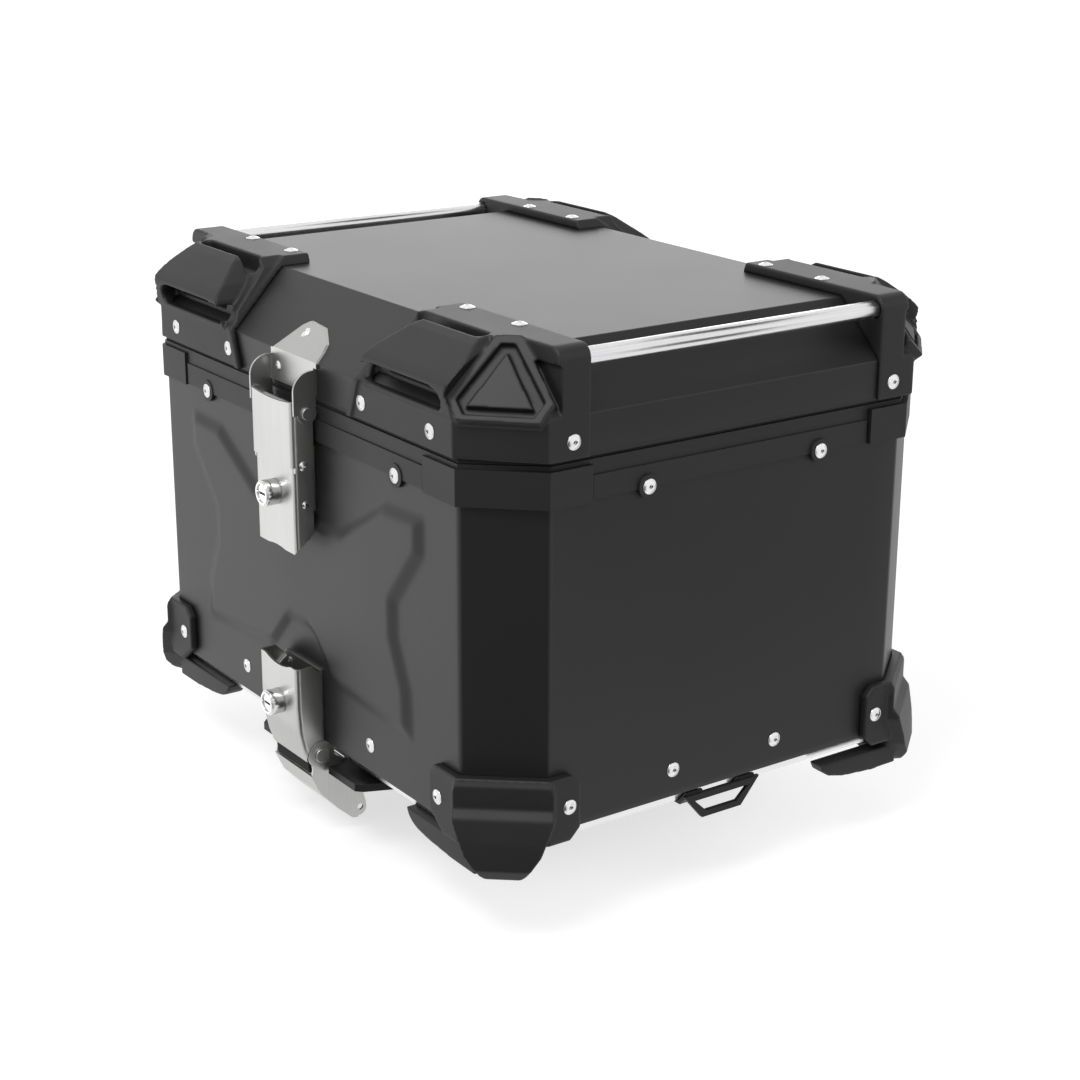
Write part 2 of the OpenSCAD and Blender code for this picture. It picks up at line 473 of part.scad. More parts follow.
// rubber stop between the bracket's cheeks, behind the gap under the cover
module release_buffer() color([0.03,0.03,0.03]) along_x(-20.2, 20.2) polygon([[-176.2,4.6],[-176.8,10],[-177,14.6],[-174.9,14.6],[-174.6,8],[-173.6,4.6]]);
module release_roller() color([0.7,0.7,0.7]) { cyl_x(-152, 5, 2, -23.6, 23.6); cyl_x(-152, 5, 3.6, -21.5, 21.5); for (x=[-24.6,23.6]) cyl_x(-152, 5, 3, x, x+1); }

// ---------- base plate ----------
module base_plate() color([0.06,0.06,0.065]) difference() {
  union() {
    slab(0, 5) octp(135, 112, 22, 22);
    slab(4, 9) polygon([[-58,-166],[58,-166],[62,-162],[69,-145],[80,-95],[-80,-95],[-69,-145],[-62,-162]]);
  }
  translate([-26,-175,-1]) cube([52,37.4,20]);
  for (s=[-1,1]) for (t=[-1,1]) translate([s*bolt_x/2,t*bolt_y/2,-1]) { cylinder(d=bolt_d, h=12); translate([0,0,3.5]) cylinder(d=bolt_d+7, h=12); }
  for (x=[-24,0,24]) slab(-1, 12) translate([x,0]) { translate([-5,-60]) square([10,120]); for (y=[-60,60]) translate([0,y]) circle(r=5); }
  for (s=[-1,1]) slab(-1, 12) { translate([s*100-7,-55]) square([14,110]); for (y=[-55,55]) translate([s*100,y]) circle(r=7); }
  for (s=[-1,1]) translate([s*48,-128,-1]) cylinder(r=8, h=20);
}
module base_pads() color([0.03,0.03,0.03]) for (s=[-1,1]) for (y=[-75,75]) translate([s*75-9,y-14,5]) difference() {
  cube([18,28,5.3]);
  for (k=[0:3]) translate([-1,4+k*6,4.3]) cube([20,2,2]);
}

base_plate();
base_pads();
tub_shell();
tub_floor();
dock_rails();
floor_mat();
rim_frame();
rim_seal();
rim_rivets();
foot_guard_front_left();
foot_guard_front_right();
foot_guard_rear_left();
foot_guard_rear_right();
foot_rivets();
wall_rivets();
tie_loops();
hinge_tub_leaf();
hinge_pin();
hinge_tub_rivets();
latch_keeper();
keeper_rivets();
release_bracket();
release_cover();
release_rivets();
release_pin();
release_lock_body();
release_lock_plug();
release_lever();
release_spring();
release_buffer();
release_roller();
lid_shell();
lid_frame();
lid_guard_front_left();
lid_guard_front_right();
lid_guard_rear_left();
lid_guard_rear_right();
lid_rails();
lid_guard_rivets();
hinge_lid_leaf();
hinge_lid_rivets();
latch_bracket();
bracket_rivets();
hasp_pin();
hasp_outer();
hasp_inner();
hasp_rivets();
latch_lock_body();
latch_lock_plug();
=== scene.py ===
import json
import math
import bpy
import bmesh
import numpy as np
from mathutils import Matrix, Vector


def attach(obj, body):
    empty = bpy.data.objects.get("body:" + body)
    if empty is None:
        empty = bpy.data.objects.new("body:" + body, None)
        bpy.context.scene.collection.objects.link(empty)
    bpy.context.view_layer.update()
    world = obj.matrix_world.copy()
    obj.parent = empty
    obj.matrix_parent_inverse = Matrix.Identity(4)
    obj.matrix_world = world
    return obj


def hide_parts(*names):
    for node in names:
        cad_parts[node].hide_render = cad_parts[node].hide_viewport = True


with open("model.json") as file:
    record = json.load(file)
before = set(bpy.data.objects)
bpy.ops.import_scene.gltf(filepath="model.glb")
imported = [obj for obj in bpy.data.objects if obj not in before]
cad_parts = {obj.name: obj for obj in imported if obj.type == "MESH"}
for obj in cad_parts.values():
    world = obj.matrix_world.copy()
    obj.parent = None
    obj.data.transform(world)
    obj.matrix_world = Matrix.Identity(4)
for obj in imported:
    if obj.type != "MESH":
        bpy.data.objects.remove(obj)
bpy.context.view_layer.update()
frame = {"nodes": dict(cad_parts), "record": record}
N = frame["nodes"]

# ------------------------------------------------------------------ materials
def new_mat(name):
    m = bpy.data.materials.new(name)
    m.use_nodes = True
    nt = m.node_tree
    b = nt.nodes["Principled BSDF"]
    return m, nt, b

def add(nt, kind, **kw):
    n = nt.nodes.new(kind)
    for k, v in kw.items():
        setattr(n, k, v)
    return n

def noise(nt, vec, scale, detail=4.0, rough=0.55):
    n = add(nt, "ShaderNodeTexNoise")
    n.inputs["Scale"].default_value = scale
    n.inputs["Detail"].default_value = detail
    n.inputs["Roughness"].default_value = rough
    nt.links.new(vec, n.inputs["Vector"])
    return n.outputs["Fac"]

def ramp(nt, fac, stops):
    r = add(nt, "ShaderNodeValToRGB")
    e = r.color_ramp.elements
    while len(e) < len(stops):
        e.new(0.5)
    for i, (p, c) in enumerate(stops):
        e[i].position = p
        e[i].color = (c, c, c, 1) if not isinstance(c, (tuple, list)) else (*c, 1)
    nt.links.new(fac, r.inputs["Fac"])
    return r.outputs["Color"]

def stretched(nt, s):
    tc = add(nt, "ShaderNodeTexCoord")
    mp = add(nt, "ShaderNodeMapping")
    mp.inputs["Scale"].default_value = s
    nt.links.new(tc.outputs["Object"], mp.inputs["Vector"])
    return mp.outputs["Vector"]

def mixf(nt, a, b, mode="ADD"):
    m = add(nt, "ShaderNodeMath", operation=mode)
    for i, v in enumerate((a, b)):
        if isinstance(v, (int, float)):
            m.inputs[i].default_value = v
        else:
            nt.links.new(v, m.inputs[i])
    return m.outputs[0]

def bump(nt, b, height, strength, dist):
    bn = add(nt, "ShaderNodeBump")
    bn.inputs["Strength"].default_value = strength
    bn.inputs["Distance"].default_value = dist
    nt.links.new(height, bn.inputs["Height"])
    nt.links.new(bn.outputs["Normal"], b.inputs["Normal"])
    return bn

def coated(name, lo, hi, r0, r1, grain, strength, spec=0.5, mottle=9.0):
    """dark coating or moulding: broad mottling, fine grain, slightly uneven gloss"""
    m, nt, b = new_mat(name)
    v = stretched(nt, (1, 1, 1))
    big = noise(nt, v, mottle, 3)
    fine = noise(nt, v, grain, 3, 0.6)
    c = ramp(nt, mixf(nt, mixf(nt, big, 0.75, "MULTIPLY"), mixf(nt, fine, 0.25, "MULTIPLY")), [(0.3, lo), (0.7, hi)])
    nt.links.new(c, b.inputs["Base Color"])
    rr = add(nt, "ShaderNodeMapRange")
    rr.inputs["To Min"].default_value = r0
    rr.inputs["To Max"].default_value = r1
    nt.links.new(noise(nt, v, mottle * 2.3, 5), rr.inputs["Value"])
    nt.links.new(rr.outputs[0], b.inputs["Roughness"])
    b.inputs["Specular IOR Level"].default_value = spec
    bump(nt, b, fine, strength, 0.0003)
    return m

def brushed(name, col, r0, r1, stretch, strength, metallic=1.0, scale=1.0):
    """metal with fine parallel brush lines"""
    m, nt, b = new_mat(name)
    v = stretched(nt, stretch)
    lines = noise(nt, v, scale, 6, 0.7)
    plain = stretched(nt, (1, 1, 1))
    cloud = noise(nt, plain, 22, 3)
    f = mixf(nt, mixf(nt, lines, 0.6, "MULTIPLY"), mixf(nt, cloud, 0.4, "MULTIPLY"))
    c = ramp(nt, f, [(0.25, tuple(x * 0.86 for x in col)), (0.75, tuple(min(1, x * 1.08) for x in col))])
    nt.links.new(c, b.inputs["Base Color"])
    b.inputs["Metallic"].default_value = metallic
    rr = add(nt, "ShaderNodeMapRange")
    rr.inputs["To Min"].default_value = r0
    rr.inputs["To Max"].default_value = r1
    nt.links.new(f, rr.inputs["Value"])
    nt.links.new(rr.outputs[0], b.inputs["Roughness"])
    bump(nt, b, lines, strength, 0.0001)
    return m

MAT = {
    "body_black": coated("powder_coat", (0.0060, 0.0060, 0.0062), (0.0078, 0.0078, 0.0080), 0.42, 0.46, 1600, 0.10, 0.5, 5.0),
    "plastic_black": coated("moulded_plastic", (0.0078, 0.0078, 0.0080), (0.0105, 0.0105, 0.0108), 0.46, 0.58, 2400, 0.16, 0.42),
    "rubber_black": coated("black_rubber", (0.006, 0.006, 0.006), (0.010, 0.010, 0.010), 0.7, 0.85, 1800, 0.2, 0.3),
    "plate_black": coated("plate_coat", (0.004, 0.004, 0.004), (0.006, 0.006, 0.006), 0.45, 0.55, 1500, 0.1, 0.35),
    "stainless": brushed("brushed_stainless", (0.50, 0.50, 0.49), 0.30, 0.40, (900, 900, 12), 0.12),
    "rail_metal": brushed("satin_rail", (0.80, 0.80, 0.81), 0.20, 0.30, (1200, 6, 1200), 0.06),
    "rivet_metal": brushed("bright_rivet", (0.86, 0.86, 0.86), 0.22, 0.34, (500, 500, 500), 0.05),
    "lock_metal": brushed("lock_chrome", (0.72, 0.72, 0.72), 0.12, 0.24, (700, 700, 700), 0.05),
}
SLOT = {s["node"]: s["material_slot"] for s in frame["record"]["subparts"]}

def dress(obj, mat):
    obj.data.materials.clear()
    obj.data.materials.append(mat)

# ------------------------------------------------------------------ helpers for modelled pieces (millimetres in, metres out)
def piece(name, verts, faces, mat, body, nodes, smooth=True, mats=None, face_mats=None, angle=35):
    me = bpy.data.meshes.new(name)
    me.from_pydata([tuple(float(c) * 0.001 for c in v) for v in verts], [], [tuple(f) for f in faces])
    me.validate()
    o = bpy.data.objects.new(name, me)
    bpy.context.scene.collection.objects.link(o)
    bm = bmesh.new()
    bm.from_mesh(me)
    bmesh.ops.remove_doubles(bm, verts=bm.verts, dist=1e-7)
    bmesh.ops.recalc_face_normals(bm, faces=bm.faces)
    bm.to_mesh(me)
    bm.free()
    for m in (mats or [mat]):
        me.materials.append(m)
    if face_mats is not None and len(face_mats) == len(me.polygons):
        for p, k in zip(me.polygons, face_mats):
            p.material_index = k
    if smooth:
        me.polygons.foreach_set("use_smooth", [True] * len(me.polygons))
        me.set_sharp_from_angle(angle=math.radians(angle))
    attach(o, body)
    if nodes:
        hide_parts(*nodes)
    return o

def seg_dist(px, pz, poly):
    """signed distance to a closed outline, positive inside"""
    best = np.full(px.shape, 1e9)
    inside = np.zeros(px.shape, bool)
    n = len(poly)
    for i in range(n):
        ax, az_ = poly[i]
        bx, bz = poly[(i + 1) % n]
        dx, dz = bx - ax, bz - az_
        t = np.clip(((px - ax) * dx + (pz - az_) * dz) / (dx * dx + dz * dz), 0, 1)
        best = np.minimum(best, np.hypot(px - ax - t * dx, pz - az_ - t * dz))
        if az_ != bz:
            cross = ((az_ > pz) != (bz > pz)) & (px < (bx - ax) * (pz - az_) / (bz - az_) + ax)
            inside ^= cross
    return np.where(inside, best, -best)

# ------------------------------------------------------------------ folded wall: rounded bends, pressed panels with soft flanks
HO = [(50, 172), (100, 201.5), (142, 203), (142, 178), (113, 142), (113, 122), (126, 93), (128, 60), (42, 66), (16, 94)]
HI = [(54, 164), (102, 192.5), (133, 194), (133, 181), (104, 145), (104, 120), (117, 91), (118, 71), (38, 75), (12, 103)]
full = lambda h: h + [(-x, z) for x, z in reversed(h)]

def press(x, z):
    do, di = seg_dist(x, z, full(HO)), seg_dist(x, z, full(HI))
    t = np.where(di > 0, 1.0, np.where(do < 0, 0.0, do / np.maximum(do - di, 1e-6)))
    sm = t * t * (3 - 2 * t)
    return 3.0 * (0.35 * t + 0.65 * sm)

def oct_path(hx, hy, a, b, R, step_front, step_side):
    """rounded octagon, counter-clockwise: (x, y, nx, ny, face) where face is 'y' on the two long walls"""
    P = [(hx - a, -hy), (hx, -(hy - b)), (hx, hy - b), (hx - a, hy), (-(hx - a), hy), (-hx, hy - b), (-hx, -(hy - b)), (-(hx - a), -hy)]
    out = []
    n = len(P)
    for i in range(n):
        p0, p1, p2 = np.array(P[i - 1], float), np.array(P[i], float), np.array(P[(i + 1) % n], float)
        d0, d1 = (p1 - p0) / np.linalg.norm(p1 - p0), (p2 - p1) / np.linalg.norm(p2 - p1)
        ang = math.acos(max(-1, min(1, float(d0 @ d1))))
        cut = R * math.tan(ang / 2)
        s, e = p1 - d0 * cut, p1 + d1 * cut
        n0, n1 = np.array([d0[1], -d0[0]]), np.array([d1[1], -d1[0]])
        c = s - n0 * R
        for k in range(6):
            t = k / 5
            a0 = math.atan2(n0[1], n0[0])
            v = np.array([math.cos(a0 + ang * t), math.sin(a0 + ang * t)])
            out.append((*(c + v * R), *v, ""))
        # straight run to the next corner
        p3 = np.array(P[(i + 2) % n], float)
        d2 = (p3 - p2) / np.linalg.norm(p3 - p2)
        ang2 = math.acos(max(-1, min(1, float(d1 @ d2))))
        e2 = p2 - d1 * (R * math.tan(ang2 / 2))
        L = np.linalg.norm(e2 - e)
        face = "y" if abs(d1[0]) > 0.99 else ""
        m = max(2, int(L / (step_front if face else step_side)))
        for k in range(1, m):
            q = e + (e2 - e) * k / m
            out.append((*q, *n1, face))
    return out

def wall():
    zs = list(np.linspace(25.0, 237.5, 104))
    t = 2.0
    outer = oct_path(208, 166, 32, 38.5, 5.0, 2.1, 16)
    V, F = [], []
    n = len(outer)
    X = np.array([p[0] for p in outer]); Y = np.array([p[1] for p in outer])
    NX = np.array([p[2] for p in outer]); NY = np.array([p[3] for p in outer])
    long_wall = np.array([p[4] == "y" for p in outer])
    rows = []
    for side in (0, 1):
        for z in zs:
            h = np.where(long_wall, press(X, np.full(n, z)), 0.0)
            off = h - (t if side else 0)
            # eased edges top and bottom
            edge = min(z - zs[0], zs[-1] - z)
            if edge < 0.3:
                off = off + (0.35 if side else -0.35)
            rows.append(len(V))
            V.extend(zip(X + NX * off, Y + NY * off, np.full(n, z)))
    nz = len(zs)
    for side in (0, 1):
        for r in range(nz - 1):
            a0, b0 = rows[side * nz + r], rows[side * nz + r + 1]
            for k in range(n):
                q = (a0 + k, a0 + (k + 1) % n, b0 + (k + 1) % n, b0 + k)
                F.append(q if side == 0 else q[::-1])
    for lo, hi in ((rows[nz - 1], rows[2 * nz - 1]), (rows[nz], rows[0])):
        for k in range(n):
            F.append((lo + k, lo + (k + 1) % n, hi + (k + 1) % n, hi + k))
    return piece("tub_wall", V, F, MAT["body_black"], "case", ["tub_shell"], angle=50)

wall()

# ------------------------------------------------------------------ lid panel: one pressed sheet with rounded creases
def lid_panel():
    me = bpy.data.meshes.new("lid_panel")
    bm = bmesh.new()
    bmesh.ops.create_cube(bm, size=0.6, matrix=Matrix.Translation((0, 0, 0.3)))
    def cut(nrm, d):
        nrm = Vector(nrm).normalized()
        g = bm.verts[:] + bm.edges[:] + bm.faces[:]
        r = bmesh.ops.bisect_plane(bm, geom=g, dist=1e-7, plane_co=nrm * d, plane_no=nrm, clear_outer=True)
        es = [x for x in r["geom_cut"] if isinstance(x, bmesh.types.BMEdge)]
        if es:
            bmesh.ops.contextual_create(bm, geom=es)
    cut((0, 0, -1), -0.246)
    cut((0, 0, 1), 0.300)
    kx = (32.5 * 211 + 34 * 267.5) / math.hypot(32.5, 34) / 1000
    ky = (34 * 167 + 42 * 266) / math.hypot(34, 42) / 1000
    for s in (-1, 1):
        cut((s, 0, 0), 0.211)
        cut((0, s, 0), 0.167)
        cut((s * 32.5, 0, 34), kx)
        cut((0, s * 34, 42), ky)
        for t in (-1, 1):
            cut((s * 36.4, t * 38, 0), 0.2411)
            cut((s * 0.69, t * 0.724, 0.76), 0.3526)
    bot = [f for f in bm.faces if f.normal.z < -0.9]
    low = set(e for f in bot for e in f.edges)
    bmesh.ops.delete(bm, geom=bot, context="FACES_ONLY")
    es = [e for e in bm.edges if e not in low and e.is_valid and len(e.link_faces) == 2]
    bmesh.ops.bevel(bm, geom=es, offset=0.0024, segments=5, affect="EDGES", profile=0.5, clamp_overlap=True)
    bmesh.ops.recalc_face_normals(bm, faces=bm.faces)
    bm.to_mesh(me)
    bm.free()
    o = bpy.data.objects.new("lid_panel", me)
    bpy.context.scene.collection.objects.link(o)
    so = o.modifiers.new("sheet", "SOLIDIFY"); so.thickness = 0.002; so.offset = -1; so.use_even_offset = True
    wn = o.modifiers.new("wn", "WEIGHTED_NORMAL"); wn.keep_sharp = True
    me.polygons.foreach_set("use_smooth", [True] * len(me.polygons))
    dress(o, MAT["body_black"])
    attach(o, "lid")
    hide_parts("lid_shell")
    return o

lid_panel()

# ------------------------------------------------------------------ blind rivets: dome, rolled edge, sunk mandrel stub coloured near-black as painted shade of the centre hole
# the mandrel stub is real steel, but its near-black colour is painted shade standing in for the shade inside the
# rivet's centre hole
mandrel_shade_m, dnt, db = new_mat("mandrel_painted_shade")
dv = stretched(dnt, (1, 1, 1))
dnt.links.new(ramp(dnt, noise(dnt, dv, 900, 2), [(0.3, 0.02), (0.7, 0.06)]), db.inputs["Base Color"])
db.inputs["Metallic"].default_value = 0.8
db.inputs["Roughness"].default_value = 0.5

def rivets(name, body, node, rows, seg=28):
    V, F, FM = [], [], []
    for (p, d, rh, rs, hh, grip) in rows:
        d = Vector(d).normalized()
        u = d.orthogonal().normalized()
        w = d.cross(u)
        rr = (rh * rh + hh * hh) / (2 * hh)
        # third value 1 marks the mandrel stub faces, which get the near-black painted-shade material
        prof = [(0.0, hh * 0.30, 1), (rs * 0.34, hh * 0.32, 1), (rs * 0.40, hh * 0.24, 1), (rs * 0.52, hh * 0.26, 0), (rs * 0.56, hh * 0.86, 0), (rs * 0.70, hh * 1.0, 0)]
        for k in range(1, 7):
            r = rs * 0.70 + (rh * 0.94 - rs * 0.70) * k / 6
            prof.append((r, hh - (rr - math.sqrt(max(rr * rr - r * r, 0))) + 0.02, 0))
        prof += [(rh * 0.985, 0.34, 0), (rh, 0.18, 0), (rh * 0.98, 0.03, 0), (rh * 0.90, 0.0, 0), (rs, 0.0, 0), (rs, -grip, 0), (rs * 1.42, -grip, 0), (rs * 1.5, -grip - 0.25, 0), (rs * 1.5, -grip - 1.3, 0), (rs * 1.3, -grip - 1.6, 0), (0.0, -grip - 1.7, 0)]
        base = []
        for (r, z, m) in prof:
            if r == 0:
                base.append((len(V), 1)); V.append(tuple(Vector(p) + d * z))
            else:
                base.append((len(V), seg))
                for k in range(seg):
                    a = 2 * math.pi * k / seg
                    V.append(tuple(Vector(p) + d * z + u * (r * math.cos(a)) + w * (r * math.sin(a))))
        for i in range(len(prof) - 1):
            (a0, na), (b0, nb) = base[i], base[i + 1]
            # mandrel faces take material 1, the painted shade of the centre hole
            m = 1 if prof[i][2] and prof[i + 1][2] else 0
            for k in range(seg):
                k2 = (k + 1) % seg
                if na == 1:
                    F.append((a0, b0 + k, b0 + k2))
                elif nb == 1:
                    F.append((a0 + k, a0 + k2, b0))
                else:
                    F.append((a0 + k, a0 + k2, b0 + k2, b0 + k))
                FM.append(m)
    return piece(name, V, F, None, body, [node], mats=[MAT["rivet_metal"], mandrel_shade_m], face_mats=FM, angle=40)

S = (-1, 1)
X = lambda s, x, y, z, *k: ((s * x, y, z), (s, 0, 0), *k)
Y = lambda s, x, y, z, *k: ((x, s * y, z), (0, s, 0), *k)
D = (4.5, 2, 1.6)
rivets("rivets_rim", "case", "rim_rivets", [X(s, 211, t * 63.1, 219.6, *D, 7) for s in S for t in S] + [Y(s, t * 114.4, 168.3, 219.6, *D, 6.3) for s in S for t in S])
rivets("rivets_foot", "case", "foot_rivets", [X(s, 213.5, t * 117.1, 41.3, *D, 9) for s in S for t in S] + [Y(s, t * 159.9, 171, 41.3, *D, 8.5) for s in S for t in S])
rivets("rivets_wall", "case", "wall_rivets", [X(s, 208, t * 38.8, 42, *D, 3.5) for s in S for t in S] + [Y(s, t * 78, 166, 42, *D, 3.5) for s in S for t in S])
rivets("rivets_guard", "lid", "lid_guard_rivets", [X(s, 213, t * 116.4, 253.8, *D, 6.2) for s in S for t in S] + [Y(s, t * x, 169, 254.2, *D, 6.2) for s in S for t in S for x in (153, 80.7)]
       + [((t * x, s * 110.7, 306), (0, 0, 1), *D, 8) for s in S for t in S for x in (102.2, 153.7)])

# ------------------------------------------------------------------ latch channels: sheet folded with real bend radii, lofted then trimmed
def slab_mesh(name, outline, axis, lo, hi):
    """closed prism: outline in the other two axes, millimetres"""
    n = len(outline)
    P = []
    for c in (lo, hi):
        for (a, b) in outline:
            P.append((c, a, b) if axis == "x" else (a, c, b))
    F = [tuple(range(n)), tuple(range(2 * n - 1, n - 1, -1))] + [(i, (i + 1) % n, n + (i + 1) % n, n + i) for i in range(n)]
    me = bpy.data.meshes.new(name)
    me.from_pydata([tuple(c * 0.001 for c in p) for p in P], [], F)
    o = bpy.data.objects.new(name, me)
    bpy.context.scene.collection.objects.link(o)
    bm = bmesh.new(); bm.from_mesh(me); bmesh.ops.recalc_face_normals(bm, faces=bm.faces); bm.to_mesh(me); bm.free()
    return o

def channel(name, halfw, t, R, back, levels):
    """folded channel, open toward +Y; levels are (z, front y) pairs; the front leans where front y changes between
    levels
    """
    prof = []   # (x, depth from the front face), outer then inner
    def side(hw, r, d0):
        pts = [(-hw, None)]
        for k in range(7):
            a = math.pi + k * math.pi / 12
            pts.append((-(hw - r) + r * math.cos(a), d0 + r + r * math.sin(a)))
        for k in range(7):
            a = 1.5 * math.pi + k * math.pi / 12
            pts.append(((hw - r) + r * math.cos(a), d0 + r + r * math.sin(a)))
        pts.append((hw, None))
        return pts
    ring = side(halfw, R, 0.0) + side(halfw - t, max(R - t, 0.4), t)[::-1]
    V, F = [], []
    n = len(ring)
    for (z, y) in levels:
        for (x, d) in ring:
            V.append((x, back if d is None else y + d, z))
    for i in range(len(levels) - 1):
        for k in range(n):
            F.append((i * n + k, i * n + (k + 1) % n, (i + 1) * n + (k + 1) % n, (i + 1) * n + k))
    h = n // 2
    for base, flip in ((0, False), ((len(levels) - 1) * n, True)):
        for k in range(h - 1):
            q = (base + k, base + k + 1, base + n - 2 - k, base + n - 1 - k)
            F.append(q[::-1] if flip else q)
    me = bpy.data.meshes.new(name)
    me.from_pydata([tuple(c * 0.001 for c in v) for v in V], [], F)
    o = bpy.data.objects.new(name, me)
    bpy.context.scene.collection.objects.link(o)
    bm = bmesh.new(); bm.from_mesh(me); bmesh.ops.remove_doubles(bm, verts=bm.verts, dist=1e-8); bmesh.ops.recalc_face_normals(bm, faces=bm.faces); bm.to_mesh(me); bm.free()
    return o

def trim(o, cutter, op):
    m = o.modifiers.new("trim", "BOOLEAN")
    m.operation = op
    m.solver = "EXACT"
    m.object = cutter
    dg = bpy.context.evaluated_depsgraph_get()
    me = bpy.data.meshes.new_from_object(o.evaluated_get(dg))
    o.modifiers.clear()
    o.data = me
    bpy.data.objects.remove(cutter, do_unlink=True)

def finish_sheet(o, body, node, bevel=0.22, slotname="stainless"):
    w = o.modifiers.new("weld", "WELD"); w.merge_threshold = 1e-6
    b = o.modifiers.new("edge", "BEVEL"); b.width = bevel * 0.001; b.segments = 2; b.limit_method = "ANGLE"; b.angle_limit = math.radians(40); b.use_clamp_overlap = True
    dress(o, MAT[slotname])
    o.data.polygons.foreach_set("use_smooth", [True] * len(o.data.polygons))
    o.data.set_sharp_from_angle(angle=math.radians(32))
    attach(o, body)
    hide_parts(node)

def disc(cy, cz, r, seg=48, a0=0.0, a1=2 * math.pi):
    return [(cy + r * math.cos(a0 + (a1 - a0) * k / seg), cz + r * math.sin(a0 + (a1 - a0) * k / seg)) for k in range(seg)]

def hasp_plates():
    # outer channel
    o = channel("hasp_front_plate", 25.3, 1.5, 3.4, -168.6, [(z, -183.9) for z in (196, 206, 220, 235, 246)])
    side = [(-190, 204), (-176.4 - 3, 204)]
    side = [(-190, 203.99), (-182.0, 203.99)] + [(-176.4 + 6.8 * math.cos(a), 204.6 + 6.8 * math.sin(a)) for a in np.linspace(math.radians(215), math.radians(360), 12)] + [(-169.6, 232), (-170, 239), (-178, 244.0), (-190, 244.0)]
    trim(o, slab_mesh("k1", side, "x", -40, 40), "INTERSECT")
    trim(o, slab_mesh("k2", [(162 * math.sin(a), 404.2 - 162 * math.cos(a)) for a in np.linspace(-0.35, 0.35, 41)] + [(60, 300), (-60, 300)], "y", -190, -178.2), "DIFFERENCE")
    trim(o, slab_mesh("k3", disc(-174.1, 236.7, 2.6), "x", -40, 40), "DIFFERENCE")
    finish_sheet(o, "hasp", "hasp_outer")
    # inner channel, scooped at its foot
    o = channel("hasp_back_plate", 23.7, 1.5, 2.6, -168.9, [(z, -182.4) for z in (146, 165, 185, 205, 226)])
    side = [(-190, 149.5), (-182.3, 149.5), (-181.5, 152), (-173, 158), (-169.8, 162), (-169.8, 222), (-172, 225.9), (-190, 225.9)]
    trim(o, slab_mesh("k4", side, "x", -40, 40), "INTERSECT")
    trim(o, slab_mesh("k5", [(52.5 * math.sin(a), 98 + 52.5 * math.cos(a)) for a in np.linspace(0.75, -0.75, 41)] + [(-60, 100), (60, 100)], "y", -190, -178.5), "DIFFERENCE")
    trim(o, slab_mesh("k6", [(7 * math.cos(a), 184 + 7 * math.sin(a)) for a in np.linspace(0, 2 * math.pi, 40, endpoint=False)], "y", -190, -170), "DIFFERENCE")
    finish_sheet(o, "hasp", "hasp_inner")

def cover_plate():
    zs = [12.9, 16, 19, 22, 26, 30, 34, 38, 42, 46, 50, 58, 66, 77]
    fy = np.interp(zs, [12.9, 22, 34, 50, 77], [-178.2, -181.5, -184.0, -185.0, -185.0])
    o = channel("release_cover_plate", 23.6, 1.5, 3.2, -167.6, list(zip(zs, fy)))
    side = [(-190, 12.9), (-178.2, 12.9), (-176.6, 13.4), (-175.2, 24), (-170, 24), (-168.2, 27), (-168.2, 70), (-174, 76), (-190, 76)]
    trim(o, slab_mesh("k7", side, "x", -40, 40), "INTERSECT")
    trim(o, slab_mesh("k8", disc(-169.2, 16.6, 9.5), "x", -40, 40), "DIFFERENCE")
    trim(o, slab_mesh("k9", [(43 * math.sin(a), 116 - 43 * math.cos(a)) for a in np.linspace(-0.6, 0.6, 41)] + [(60, 130), (-60, 130)], "y", -200, -160), "DIFFERENCE")
    trim(o, slab_mesh("k10", [(7 * math.cos(a), 49 + 7 * math.sin(a)) for a in np.linspace(0, 2 * math.pi, 40, endpoint=False)], "y", -190, -175), "DIFFERENCE")
    finish_sheet(o, "case", "release_cover")

hasp_plates()
cover_plate()

# ------------------------------------------------------------------ soft edges on the CAD nodes
def soften(o, width, segs, angle=28):
    w = o.modifiers.new("weld", "WELD"); w.merge_threshold = 2e-6
    d = o.modifiers.new("flat", "DECIMATE"); d.decimate_type = "DISSOLVE"; d.angle_limit = math.radians(0.6)
    b = o.modifiers.new("bevel", "BEVEL"); b.width = width; b.segments = segs; b.limit_method = "ANGLE"
    b.angle_limit = math.radians(angle); b.harden_normals = True; b.use_clamp_overlap = True

def moulded(o, voxel, rounds, keep):
    """a moulding's edges all rounded: remeshed finely, relaxed, then thinned where it is flat"""
    w = o.modifiers.new("weld", "WELD"); w.merge_threshold = 2e-6
    r = o.modifiers.new("skin", "REMESH"); r.mode = "VOXEL"; r.voxel_size = voxel; r.use_smooth_shade = True
    m = o.modifiers.new("relax", "SMOOTH"); m.factor = 0.5; m.iterations = rounds
    d = o.modifiers.new("thin", "DECIMATE"); d.ratio = keep

BEVEL = {"plastic_black": (0.0008, 3), "stainless": (0.00035, 2), "body_black": (0.0009, 3), "plate_black": (0.0005, 2),
         "rail_metal": (0.0003, 2), "rubber_black": (0.0004, 2), "lock_metal": (0.0003, 2)}
for name, o in N.items():
    s = SLOT[name]
    dress(o, MAT[s])
    if "guard_front" in name or "guard_rear" in name:
        moulded(o, 0.0008, 7, 0.3)
    elif s in BEVEL:
        soften(o, *BEVEL[s])

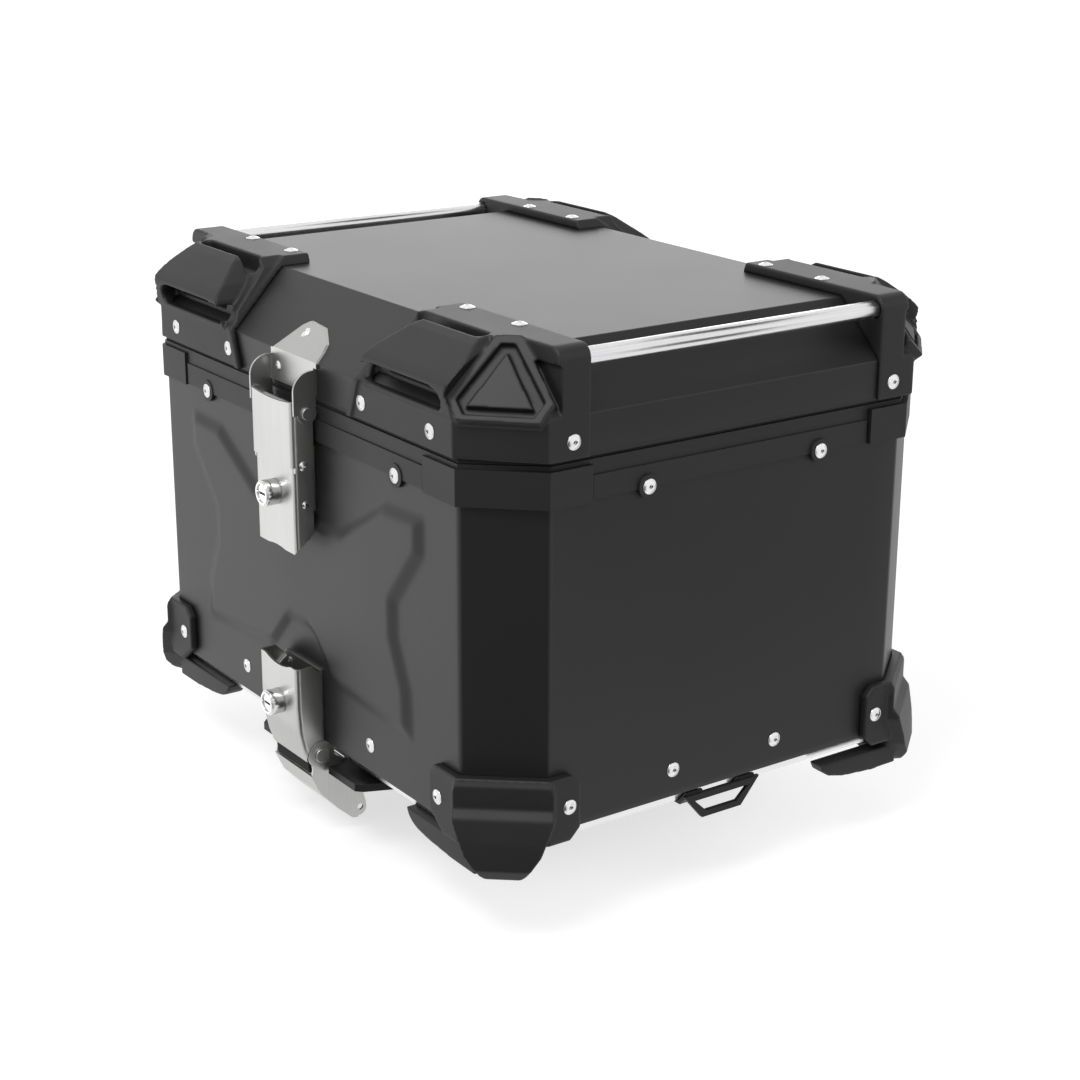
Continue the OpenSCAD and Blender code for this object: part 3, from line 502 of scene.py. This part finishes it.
# ------------------------------------------------------------------ camera
cam_d = bpy.data.cameras.new("camera")
cam = bpy.data.objects.new("camera", cam_d)
bpy.context.scene.collection.objects.link(cam)
cam_d.lens = 71.82
cam_d.sensor_width = 36
cam_d.sensor_fit = "HORIZONTAL"
cam_d.clip_start = 0.01
cam_d.clip_end = 60
az, el, roll = math.radians(54.714), math.radians(18.412), math.radians(0.292)
back = Vector((math.sin(az) * math.cos(el), -math.cos(az) * math.cos(el), math.sin(el)))
right = (-back).cross(Vector((0, 0, 1))).normalized()
up = right.cross(-back)
r2 = right * math.cos(roll) + up * math.sin(roll)
u2 = -right * math.sin(roll) + up * math.cos(roll)
pos = Vector((0.005889, 0.008348, 0.118744)) + back * 1.41473
cam.matrix_world = Matrix(((r2.x, u2.x, back.x, pos.x), (r2.y, u2.y, back.y, pos.y), (r2.z, u2.z, back.z, pos.z), (0, 0, 0, 1)))
bpy.context.scene.camera = cam

# ------------------------------------------------------------------ floor and light
fm, nt, b = new_mat("floor_pale")
b.inputs["Base Color"].default_value = (0.40, 0.40, 0.40, 1)
b.inputs["Roughness"].default_value = 0.9
b.inputs["Specular IOR Level"].default_value = 0.0
b.inputs["Emission Color"].default_value = (1, 1, 1, 1)
b.inputs["Emission Strength"].default_value = 0.66
bpy.ops.mesh.primitive_plane_add(size=90, location=(0, 0, -0.040))
floor = bpy.context.object
floor.name = "floor"
dress(floor, fm)
floor.visible_glossy = False
floor.visible_diffuse = False
floor.visible_shadow = False

def area(name, loc, target, size, power, size_y=None):
    l = bpy.data.lights.new(name, "AREA")
    l.energy = power
    l.shape = "RECTANGLE"
    l.size = size
    l.size_y = size_y or size
    o = bpy.data.objects.new(name, l)
    bpy.context.scene.collection.objects.link(o)
    o.location = loc
    o.rotation_euler = (Vector(target) - Vector(loc)).to_track_quat("-Z", "Y").to_euler()
    return o

area("back_left", (-2.5, 1.75, 1.15), (0, 0, 0.28), 2.0, 13, 1.0)
area("front_top", (0.50, -1.05, 1.75), (0.18, -0.14, 0.28), 0.7, 16)
area("front_low", (-1.9, -1.5, -0.4), (0, -0.16, 0.12), 1.5, 3.6, 1.1)

# matt black cards on stands, out of the picture: they keep the corner that faces the camera dark
cm, nt, b = new_mat("card_black")
b.inputs["Base Color"].default_value = (0.01, 0.01, 0.01, 1)
b.inputs["Roughness"].default_value = 1.0
b.inputs["Specular IOR Level"].default_value = 0.0
def card(name, loc, target, sx, sy):
    bpy.ops.mesh.primitive_plane_add(size=1, location=loc)
    c = bpy.context.object
    c.name = name
    c.scale = (sx, sy, 1)
    c.rotation_euler = (Vector(target) - Vector(loc)).to_track_quat("-Z", "Y").to_euler()
    dress(c, cm)
    c.visible_camera = False
    c.visible_shadow = False
card("card_front", (1.02, -0.99, -0.36), (0.19, -0.15, 0.15), 1.5, 1.5)
card("card_top", (0.55, 1.0, 1.55), (0.2, 0, 0.28), 0.8, 0.8)
card("card_right", (1.55, 1.05, -0.25), (0.21, 0, 0.15), 0.8, 0.8)

w = bpy.data.worlds.new("world")
bpy.context.scene.world = w
w.use_nodes = True
w.node_tree.nodes["Background"].inputs["Color"].default_value = (1, 1, 1, 1)
w.node_tree.nodes["Background"].inputs["Strength"].default_value = 1.0
bpy.context.scene.view_settings.view_transform = "Standard"
